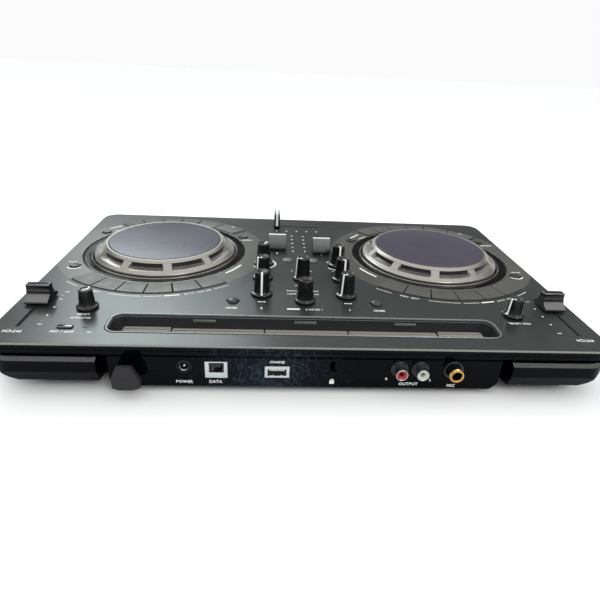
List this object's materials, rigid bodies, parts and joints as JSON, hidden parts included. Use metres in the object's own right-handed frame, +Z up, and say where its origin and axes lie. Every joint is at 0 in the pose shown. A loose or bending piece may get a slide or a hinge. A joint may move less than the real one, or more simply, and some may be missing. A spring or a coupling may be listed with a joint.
{
  "type": "dj controller",
  "caption": "Compact two-deck DJ controller: jog wheels ringed by pads, a central mixer with knobs and faders, a tablet slot and rear sockets.",
  "frame": {"origin": "centre of the footprint, on the surface the feet stand on", "axes": "+X across the width towards the deck on the user's right, +Y towards the socket side, +Z up"},
  "size_m": [0.419, 0.281, 0.0565],
  "materials": {
    "body_gloss": "gloss black moulded ABS",
    "panel_satin": "satin dark grey-green painted moulding",
    "tray_grey": "satin warm grey moulding with a light lip",
    "circuit_board": "glass-fibre board with solder mask",
    "socket_black": "black moulded socket housing",
    "port_steel": "plated steel shell",
    "hook_grey": "matte textured dark grey moulding",
    "foot_rubber": "black rubber",
    "ring_smoke": "smoked translucent light guide",
    "wheel_grey": "metallic grey painted moulding",
    "plate_satin": "dark satin anodised plate",
    "pad_rubber": "warm grey silicone",
    "knob_black": "satin black moulding with white pointer lines"
  },
  "bodies": {
    "chassis": {"bottom_case": "body_gloss", "upper_frame": "body_gloss", "top_panel": "panel_satin", "slot_tray": "tray_grey", "main_board": "circuit_board", "dc_jack": "socket_black", "usb_b_port": "port_steel", "usb_a_port": "port_steel", "rca_sockets": "socket_black", "mic_jack": "socket_black", "cord_hook": "hook_grey", "rubber_foot_rear_right": "foot_rubber", "rubber_foot_rear_left": "foot_rubber", "rubber_foot_front_right": "foot_rubber", "rubber_foot_front_left": "foot_rubber", "light_ring_right": "ring_smoke", "light_ring_left": "ring_smoke"},
    "jog_right": {"jog_wheel_right": "wheel_grey", "jog_plate_right": "plate_satin"},
    "rear_pad_right_1": {"rear_pad_right_1": "pad_rubber"},
    "rear_pad_right_2": {"rear_pad_right_2": "pad_rubber"},
    "rear_pad_right_3": {"rear_pad_right_3": "pad_rubber"},
    "rear_pad_right_4": {"rear_pad_right_4": "pad_rubber"},
    "rear_pad_right_5": {"rear_pad_right_5": "pad_rubber"},
    "rear_pad_right_6": {"rear_pad_right_6": "pad_rubber"},
    "play_button_right": {"play_button_right": "pad_rubber"},
    "cue_button_right": {"cue_button_right": "pad_rubber"},
    "pad_mat_right": {"pad_mat_right": "pad_rubber"},
    "jog_left": {"jog_wheel_left": "wheel_grey", "jog_plate_left": "plate_satin"},
    "rear_pad_left_1": {"rear_pad_left_1": "pad_rubber"},
    "rear_pad_left_2": {"rear_pad_left_2": "pad_rubber"},
    "rear_pad_left_3": {"rear_pad_left_3": "pad_rubber"},
    "rear_pad_left_4": {"rear_pad_left_4": "pad_rubber"},
    "rear_pad_left_5": {"rear_pad_left_5": "pad_rubber"},
    "rear_pad_left_6": {"rear_pad_left_6": "pad_rubber"},
    "play_button_left": {"play_button_left": "pad_rubber"},
    "cue_button_left": {"cue_button_left": "pad_rubber"},
    "pad_mat_left": {"pad_mat_left": "pad_rubber"},
    "trim_knob_right": {"trim_knob_right": "knob_black"},
    "eq_high_knob_right": {"eq_high_knob_right": "knob_black"},
    "eq_low_knob_right": {"eq_low_knob_right": "knob_black"},
    "trim_knob_left": {"trim_knob_left": "knob_black"},
    "eq_high_knob_left": {"eq_high_knob_left": "knob_black"},
    "eq_low_knob_left": {"eq_low_knob_left": "knob_black"},
    "headphone_level_knob": {"headphone_level_knob": "knob_black"},
    "master_level_knob": {"master_level_knob": "knob_black"},
    "mic_level_knob": {"mic_level_knob": "knob_black"},
    "browse_shaft": {"browse_shaft": "port_steel"},
    "browse_knob": {"browse_knob": "knob_black"},
    "channel_fader_right": {"channel_fader_right": "knob_black"},
    "channel_fader_left": {"channel_fader_left": "knob_black"},
    "tempo_slider_right": {"tempo_slider_right": "knob_black"},
    "tempo_slider_left": {"tempo_slider_left": "knob_black"},
    "crossfader": {"crossfader": "knob_black"},
    "load_button_right": {"load_button_right": "knob_black"},
    "load_button_left": {"load_button_left": "knob_black"},
    "headphone_cue_button_right": {"headphone_cue_button_right": "knob_black"},
    "headphone_cue_button_left": {"headphone_cue_button_left": "knob_black"},
    "power_button": {"power_button": "knob_black"}
  },
  "joints": [
    {"name": "jog_spin_right", "type": "hinge", "parent": "chassis", "child": "jog_right", "pos_m": [0.1246, -0.036, 0.0365], "axis": [0, 0, 1], "continuous": true},
    {"name": "rear_pad_right_1_press", "type": "slide", "parent": "chassis", "child": "rear_pad_right_1", "axis": [0, 0, 1], "range_m": [-0.0008, 0], "stiffness_N_per_m": 400, "springref_m": 0.0005},
    {"name": "rear_pad_right_2_press", "type": "slide", "parent": "chassis", "child": "rear_pad_right_2", "axis": [0, 0, 1], "range_m": [-0.0008, 0], "stiffness_N_per_m": 400, "springref_m": 0.0005},
    {"name": "rear_pad_right_3_press", "type": "slide", "parent": "chassis", "child": "rear_pad_right_3", "axis": [0, 0, 1], "range_m": [-0.0008, 0], "stiffness_N_per_m": 400, "springref_m": 0.0005},
    {"name": "rear_pad_right_4_press", "type": "slide", "parent": "chassis", "child": "rear_pad_right_4", "axis": [0, 0, 1], "range_m": [-0.0008, 0], "stiffness_N_per_m": 400, "springref_m": 0.0005},
    {"name": "rear_pad_right_5_press", "type": "slide", "parent": "chassis", "child": "rear_pad_right_5", "axis": [0, 0, 1], "range_m": [-0.0008, 0], "stiffness_N_per_m": 400, "springref_m": 0.0005},
    {"name": "rear_pad_right_6_press", "type": "slide", "parent": "chassis", "child": "rear_pad_right_6", "axis": [0, 0, 1], "range_m": [-0.0008, 0], "stiffness_N_per_m": 400, "springref_m": 0.0005},
    {"name": "play_button_right_press", "type": "slide", "parent": "chassis", "child": "play_button_right", "axis": [0, 0, 1], "range_m": [-0.0008, 0], "stiffness_N_per_m": 400, "springref_m": 0.0005},
    {"name": "cue_button_right_press", "type": "slide", "parent": "chassis", "child": "cue_button_right", "axis": [0, 0, 1], "range_m": [-0.0008, 0], "stiffness_N_per_m": 400, "springref_m": 0.0005},
    {"name": "pad_mat_right_press", "type": "slide", "parent": "chassis", "child": "pad_mat_right", "axis": [0, 0, 1], "range_m": [-0.0008, 0], "stiffness_N_per_m": 800, "springref_m": 0.0005},
    {"name": "jog_spin_left", "type": "hinge", "parent": "chassis", "child": "jog_left", "pos_m": [-0.1246, -0.036, 0.0365], "axis": [0, 0, 1], "continuous": true},
    {"name": "rear_pad_left_1_press", "type": "slide", "parent": "chassis", "child": "rear_pad_left_1", "axis": [0, 0, 1], "range_m": [-0.0008, 0], "stiffness_N_per_m": 400, "springref_m": 0.0005},
    {"name": "rear_pad_left_2_press", "type": "slide", "parent": "chassis", "child": "rear_pad_left_2", "axis": [0, 0, 1], "range_m": [-0.0008, 0], "stiffness_N_per_m": 400, "springref_m": 0.0005},
    {"name": "rear_pad_left_3_press", "type": "slide", "parent": "chassis", "child": "rear_pad_left_3", "axis": [0, 0, 1], "range_m": [-0.0008, 0], "stiffness_N_per_m": 400, "springref_m": 0.0005},
    {"name": "rear_pad_left_4_press", "type": "slide", "parent": "chassis", "child": "rear_pad_left_4", "axis": [0, 0, 1], "range_m": [-0.0008, 0], "stiffness_N_per_m": 400, "springref_m": 0.0005},
    {"name": "rear_pad_left_5_press", "type": "slide", "parent": "chassis", "child": "rear_pad_left_5", "axis": [0, 0, 1], "range_m": [-0.0008, 0], "stiffness_N_per_m": 400, "springref_m": 0.0005},
    {"name": "rear_pad_left_6_press", "type": "slide", "parent": "chassis", "child": "rear_pad_left_6", "axis": [0, 0, 1], "range_m": [-0.0008, 0], "stiffness_N_per_m": 400, "springref_m": 0.0005},
    {"name": "play_button_left_press", "type": "slide", "parent": "chassis", "child": "play_button_left", "axis": [0, 0, 1], "range_m": [-0.0008, 0], "stiffness_N_per_m": 400, "springref_m": 0.0005},
    {"name": "cue_button_left_press", "type": "slide", "parent": "chassis", "child": "cue_button_left", "axis": [0, 0, 1], "range_m": [-0.0008, 0], "stiffness_N_per_m": 400, "springref_m": 0.0005},
    {"name": "pad_mat_left_press", "type": "slide", "parent": "chassis", "child": "pad_mat_left", "axis": [0, 0, 1], "range_m": [-0.0008, 0], "stiffness_N_per_m": 800, "springref_m": 0.0005},
    {"name": "trim_knob_right_turn", "type": "hinge", "parent": "chassis", "child": "trim_knob_right", "pos_m": [0.0335, 0.0535, 0.0365], "axis": [0, 0, 1], "range_deg": [-150, 150]},
    {"name": "eq_high_knob_right_turn", "type": "hinge", "parent": "chassis", "child": "eq_high_knob_right", "pos_m": [0.0335, 0.0225, 0.0365], "axis": [0, 0, 1], "range_deg": [-101, 199]},
    {"name": "eq_low_knob_right_turn", "type": "hinge", "parent": "chassis", "child": "eq_low_knob_right", "pos_m": [0.0335, -0.0085, 0.0365], "axis": [0, 0, 1], "range_deg": [-290, 10]},
    {"name": "trim_knob_left_turn", "type": "hinge", "parent": "chassis", "child": "trim_knob_left", "pos_m": [-0.0335, 0.0535, 0.0365], "axis": [0, 0, 1], "range_deg": [-103, 197]},
    {"name": "eq_high_knob_left_turn", "type": "hinge", "parent": "chassis", "child": "eq_high_knob_left", "pos_m": [-0.0335, 0.0225, 0.0365], "axis": [0, 0, 1], "range_deg": [-164, 136]},
    {"name": "eq_low_knob_left_turn", "type": "hinge", "parent": "chassis", "child": "eq_low_knob_left", "pos_m": [-0.0335, -0.0085, 0.0365], "axis": [0, 0, 1], "range_deg": [-158, 142]},
    {"name": "headphone_level_knob_turn", "type": "hinge", "parent": "chassis", "child": "headphone_level_knob", "pos_m": [0, 0.023, 0.0365], "axis": [0, 0, 1], "range_deg": [-80, 220]},
    {"name": "master_level_knob_turn", "type": "hinge", "parent": "chassis", "child": "master_level_knob", "pos_m": [0.1577, 0.0815, 0.0365], "axis": [0, 0, 1], "range_deg": [-300, 0]},
    {"name": "mic_level_knob_turn", "type": "hinge", "parent": "chassis", "child": "mic_level_knob", "pos_m": [-0.1577, 0.0815, 0.0365], "axis": [0, 0, 1], "range_deg": [-75, 225]},
    {"name": "browse_push", "type": "slide", "parent": "chassis", "child": "browse_shaft", "axis": [0, 0, 1], "range_m": [-0.0005, 0], "stiffness_N_per_m": 600, "springref_m": 0.0005},
    {"name": "browse_turn", "type": "hinge", "parent": "browse_shaft", "child": "browse_knob", "pos_m": [0, 0.0645, 0.0365], "axis": [0, 0, 1], "continuous": true},
    {"name": "channel_fader_right_slide", "type": "slide", "parent": "chassis", "child": "channel_fader_right", "axis": [0, 1, 0], "range_m": [-0.036, 0.009]},
    {"name": "channel_fader_left_slide", "type": "slide", "parent": "chassis", "child": "channel_fader_left", "axis": [0, 1, 0], "range_m": [-0.0434, 0.0016]},
    {"name": "tempo_slider_right_slide", "type": "slide", "parent": "chassis", "child": "tempo_slider_right", "axis": [0, 1, 0], "range_m": [-0.0144, 0.0356]},
    {"name": "tempo_slider_left_slide", "type": "slide", "parent": "chassis", "child": "tempo_slider_left", "axis": [0, 1, 0], "range_m": [-0.0091, 0.0409]},
    {"name": "crossfader_slide", "type": "slide", "parent": "chassis", "child": "crossfader", "axis": [1, 0, 0], "range_m": [-0.0435, 0.0015]},
    {"name": "load_button_right_press", "type": "slide", "parent": "chassis", "child": "load_button_right", "axis": [0, 0, 1], "range_m": [-0.0008, 0], "stiffness_N_per_m": 300, "springref_m": 0.0005},
    {"name": "load_button_left_press", "type": "slide", "parent": "chassis", "child": "load_button_left", "axis": [0, 0, 1], "range_m": [-0.0008, 0], "stiffness_N_per_m": 300, "springref_m": 0.0005},
    {"name": "headphone_cue_button_right_press", "type": "slide", "parent": "chassis", "child": "headphone_cue_button_right", "axis": [0, 0, 1], "range_m": [-0.0008, 0], "stiffness_N_per_m": 300, "springref_m": 0.0005},
    {"name": "headphone_cue_button_left_press", "type": "slide", "parent": "chassis", "child": "headphone_cue_button_left", "axis": [0, 0, 1], "range_m": [-0.0008, 0], "stiffness_N_per_m": 300, "springref_m": 0.0005},
    {"name": "power_button_press", "type": "slide", "parent": "chassis", "child": "power_button", "axis": [0, 0, 1], "range_m": [-0.0008, 0], "stiffness_N_per_m": 300, "springref_m": 0.0005}
  ]
}
